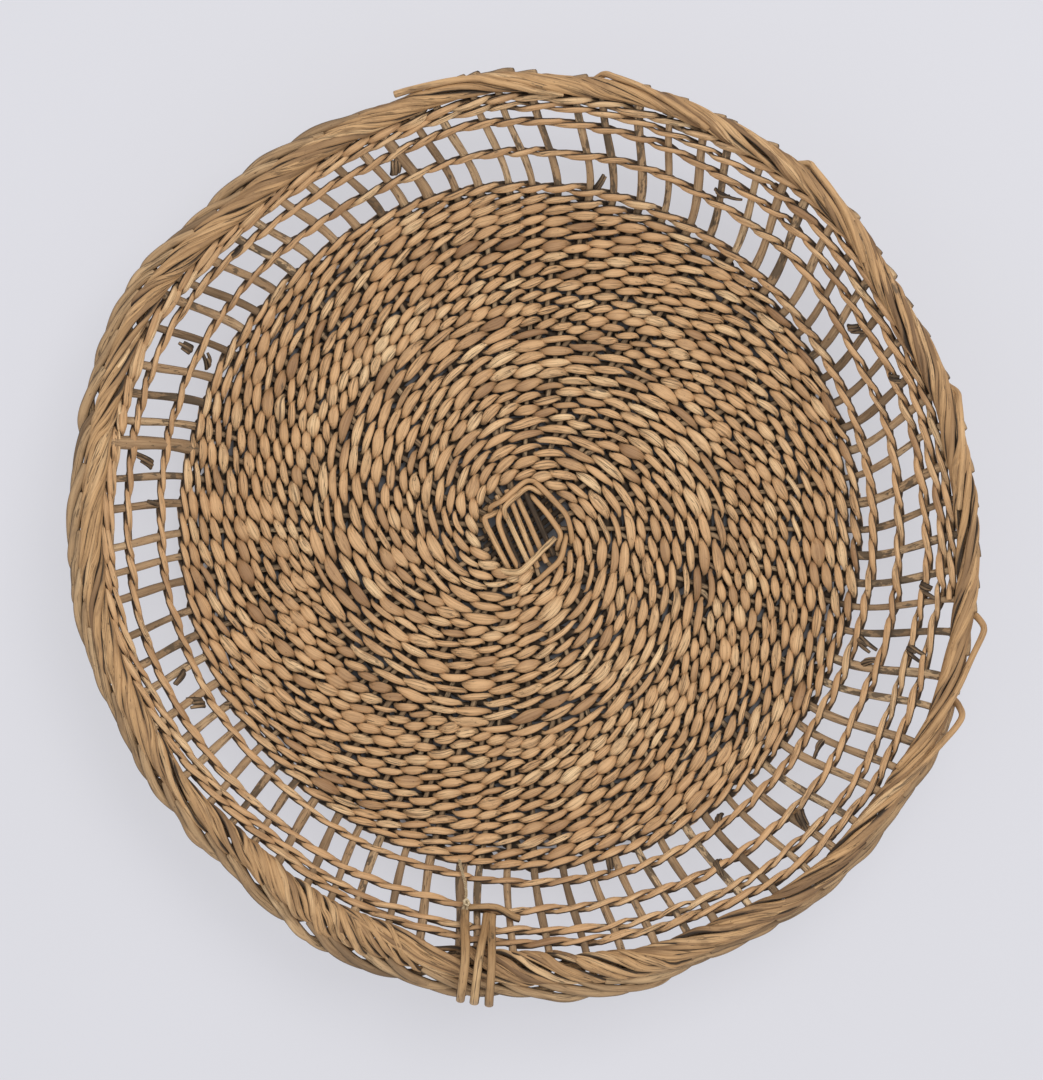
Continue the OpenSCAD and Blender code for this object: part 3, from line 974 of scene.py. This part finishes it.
def make_border():
    border = [Rods() for _ in range(5)]
    plait = [Rods() for _ in range(2)]
    for number in range(STAKES):
        run = float(run_of_rods(bearing_of(number + 2.0, TOP_U)))
        # Where the rods cross the roll more steeply, more of them lie side by side
        together = 2 + round(3 * min(abs(1 - run) / 0.5, 1))
        for k in range(together):
            roll_rod(border[(number + k) % 5], number + k / together, run, k == 0)
    for number in range(STAKES):
        plait_rod(plait[number % 2], number)
    for k, rods in enumerate(border):
        rods.piece(f"roll_of_border_{k + 1}", [f"border_rod_{k + 1}"], "border_willow")
    for k, rods in enumerate(plait):
        rods.piece(f"plait_under_border_{k + 1}", [f"border_plait_{k + 1}"], "plait_willow")


# Rods that have sprung out of the border: the stake number each starts from, and its way
ELBOW = [
    (-0.4, -110, 5), (-0.15, -60, 6.5), (0.05, -14, 9.5), (0.28, 4, 12.6), (0.6, 16, 12),
    (1.3, 34, 8.2), (2.2, 62, 6.8), (3.4, 110, 6.4), (4.6, 160, 5),
]
HAIRPIN = [
    (-0.5, -70, 4.5), (-0.2, -25, 6.6), (0.05, 2, 8.6), (0.35, 22, 8), (1.2, 52, 6.6),
    (2.2, 92, 6.2), (3.2, 135, 5.6),
]
CUT_END = [
    (0, 14, 9.6), (0.6, 20, 8.6), (1.4, 38, 7.8), (2.6, 70, 6.8), (4, 125, 6.2), (5, 165, 5),
]
STRAYS = [
    (-16.6, ELBOW), (-14.4, ELBOW), (38.7, CUT_END), (-37.1, HAIRPIN), (-30.7, HAIRPIN),
    (-22.9, HAIRPIN),
]


def make_strays():
    rods = Rods()
    for number, way in STRAYS:
        way = spline(way, 60)
        path, away = roll_points(number, way, follows=0)
        size = np.linspace(2.1, 1.7, len(path)) * MM
        rods.add(
            path, away, size, size * 0.94, tint=rng.normal(0.3, 0.3), grime=0.04, sides_dirt=0.35,
        )
    rods.piece("sprung_rods", ["stray_rods"], "border_willow")


make_border()
make_strays()

# ---------------------------------------------------------------- lashing

# Each wrap's bearing under the tail and outside the border, in degrees
WRAPS = [(184.5, 184.0), (185.2, 185.8), (188.5, 187.5)]
# A wrap's section: u from the roll's core and n inward, in millimetres
WRAP_SECTION = [
    (-31, 2.2), (-30.5, 5.2), (-26, 7.6), (-18, 9.8), (-9, 12.8), (1, 14.8), (11, 13.6),
    (19.5, 8), (22.5, -3), (17, -13.5), (5, -17), (-9, -14), (-20, -8.6), (-28, -6.2), (-33, -4),
    (-34, -0.5), (-31, 2.2),
]
# Half a wrap's width and thickness: it is a flattened rod
WRAP_WIDE, WRAP_THICK = 2.5, 1.3
# The tail's bearings, in degrees, and its place along the stakes
TAIL_BEARINGS = (180.4, 188.6)
TAIL_U = BASE_FLAT + BEND_LEN + 38 * MM
KNOT_BEARING = math.radians(180 + 8.5)


def make_lashing():
    wraps = Rods()
    for under, outside in WRAPS:
        way = spline(WRAP_SECTION, 96)
        u = TOP_U + way[:, 0] * MM
        part = rise(-32, 18, way[:, 0])
        bearings = np.radians(under + (outside - under) * part)
        path = place(bearings, u, way[:, 1] * MM)
        middle = place(np.radians(under), TOP_U - 8 * MM, 0)
        sideways = np.array([math.cos(bearings[0]), -math.sin(bearings[0]), 0])
        up = unit(np.cross(np.gradient(path, axis=0), sideways))
        up = up * np.sign(np.sum(up * (path - middle), axis=1))[:, None]
        wide = WRAP_WIDE * MM * (1 + 0.07 * np.sin(np.linspace(0, 7, len(path)) + under))
        wraps.add(
            path, up, wide, WRAP_THICK * MM, tint=rng.normal(0.2, 0.3), grime=0.08, bark=0.25,
            sides_dirt=0.6,
        )
    wraps.piece("lashing_loops", ["lashing_wraps"], "lashing_willow")

    tail = Rods()
    s = np.linspace(0, 1, 40)
    bearings = np.radians(TAIL_BEARINGS[0] + (TAIL_BEARINGS[1] - TAIL_BEARINGS[0]) * s)
    # It arches over the feet of the wraps and drops towards its cut end
    u = TAIL_U + 3.6 * MM * (1 - rise(0, 0.45, s)) - 1.6 * MM * np.sin(math.pi * s) ** 2
    n = (4.6 + 2.2 * np.sin(math.pi * s)) * MM
    tail.add(
        place(bearings, u, n), inward(bearings, u), np.linspace(2.3, 2.0, 40) * MM,
        tint=0.3, grime=0.04,
    )
    tail.piece("lashing_end", ["lashing_tail"], "lashing_willow")


def make_knot():
    """Two turns of twisted string round the lashing's tail, and the knot on top."""
    rods = Rods(sides=8)
    bearing = KNOT_BEARING
    centre = place(bearing, TAIL_U, 4.7 * MM)
    up = inward(bearing, TAIL_U)
    sideways = np.array([math.cos(bearing), -math.sin(bearing), 0])
    side_up = np.cross(sideways, up)
    reach = 2.4 * MM + STRING_THICK / 2
    for off in (-1.0, 1.0):
        a = np.linspace(0, TAU * 0.98, 60)[:, None]
        path = centre + reach * (np.cos(a) * up + np.sin(a) * side_up)
        path = path + sideways * MM * (off + 0.5 * (a / TAU - 0.5))
        lay_strands(rods, path, sideways)
    top = centre + (reach + 1.4 * MM) * up
    a = np.linspace(0, TAU * 1.6, 70)[:, None]
    knot = top + 1.35 * MM * (np.cos(a) * sideways + np.sin(a) * side_up)
    knot = knot + up * MM * 0.9 * np.sin(a * 1.25)
    lay_strands(rods, knot, up)
    rods.piece("knotted_string", ["string_knot"], "cotton_string")


make_lashing()
make_knot()

# ---------------------------------------------------------------- floor, light and finish


FLOOR_HALF = 6.0
FLOOR_TONES = (srgb(124, 124, 127), srgb(126, 126, 130))
# The paper glows a little, as painted light from below, clear of the base, so that the
# openings of the side stay bright: how strongly, and where that starts and is full, out from the
# middle
GLOW = 2.39
GLOW_FROM, GLOW_FULL = 178 * MM, 200 * MM
# Each light's place, power, size and colour
KEY = ((0.6, 0.8, 2.2), 29, 1.3, (1.0, 0.985, 0.965))
FILL = ((-1.1, -0.6, 1.8), 4, 1.8, (0.96, 0.98, 1.0))
WORLD_COLOUR = (0.96, 0.97, 1.0, 1)
WORLD_STRENGTH = 0.75


def make_floor():
    s = Shader("paper_floor")
    spot = s.node("ShaderNodeTexCoord", {}, 3)
    clouds = s.node("ShaderNodeTexNoise", {"Vector": spot, "Scale": 3.0, "Detail": 3.0})
    colour = s.mix(clouds, *FLOOR_TONES)
    s.put(s.main.inputs["Base Color"], colour)
    from_middle = s.node("ShaderNodeVectorMath", {0: spot}, 1, operation="LENGTH")
    # Painted light: the paper glows outside the base
    s.put(s.main.inputs["Emission Color"], colour)
    glow = s.spread(from_middle, GLOW_FROM, GLOW_FULL, 0.0, GLOW)
    s.put(s.main.inputs["Emission Strength"], glow)
    s.main.inputs["Roughness"].default_value = 0.9
    s.main.inputs["Specular IOR Level"].default_value = 0.1
    corners = [(x * FLOOR_HALF, y * FLOOR_HALF, 0) for x, y in ((-1, -1), (1, -1), (1, 1), (-1, 1))]
    mesh = bpy.data.meshes.new("floor")
    mesh.from_pydata(corners, [], [(0, 1, 2, 3)])
    mesh.materials.append(s.material)
    floor = bpy.data.objects.new("floor", mesh)
    bpy.context.scene.collection.objects.link(floor)
    floor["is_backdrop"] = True


def add_light(name, spot, power, size, colour):
    data = bpy.data.lights.new(name, "AREA")
    data.energy = power
    data.size = size
    data.color = colour
    light = bpy.data.objects.new(name, data)
    bpy.context.scene.collection.objects.link(light)
    aim(light, spot, (0, 0, 0), (0.1, 1, 0.2))


def make_world():
    world = bpy.data.worlds.new("studio")
    world.use_nodes = True
    background = world.node_tree.nodes["Background"]
    background.inputs["Color"].default_value = WORLD_COLOUR
    background.inputs["Strength"].default_value = WORLD_STRENGTH
    bpy.context.scene.world = world


make_floor()
add_light("key", *KEY)
add_light("fill", *FILL)
make_world()
bpy.context.scene.view_settings.view_transform = "Standard"

made_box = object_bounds()
boxes = {"cad": cad_box, "made": made_box}
{name: [list(corner) for corner in box] for name, box in boxes.items()}
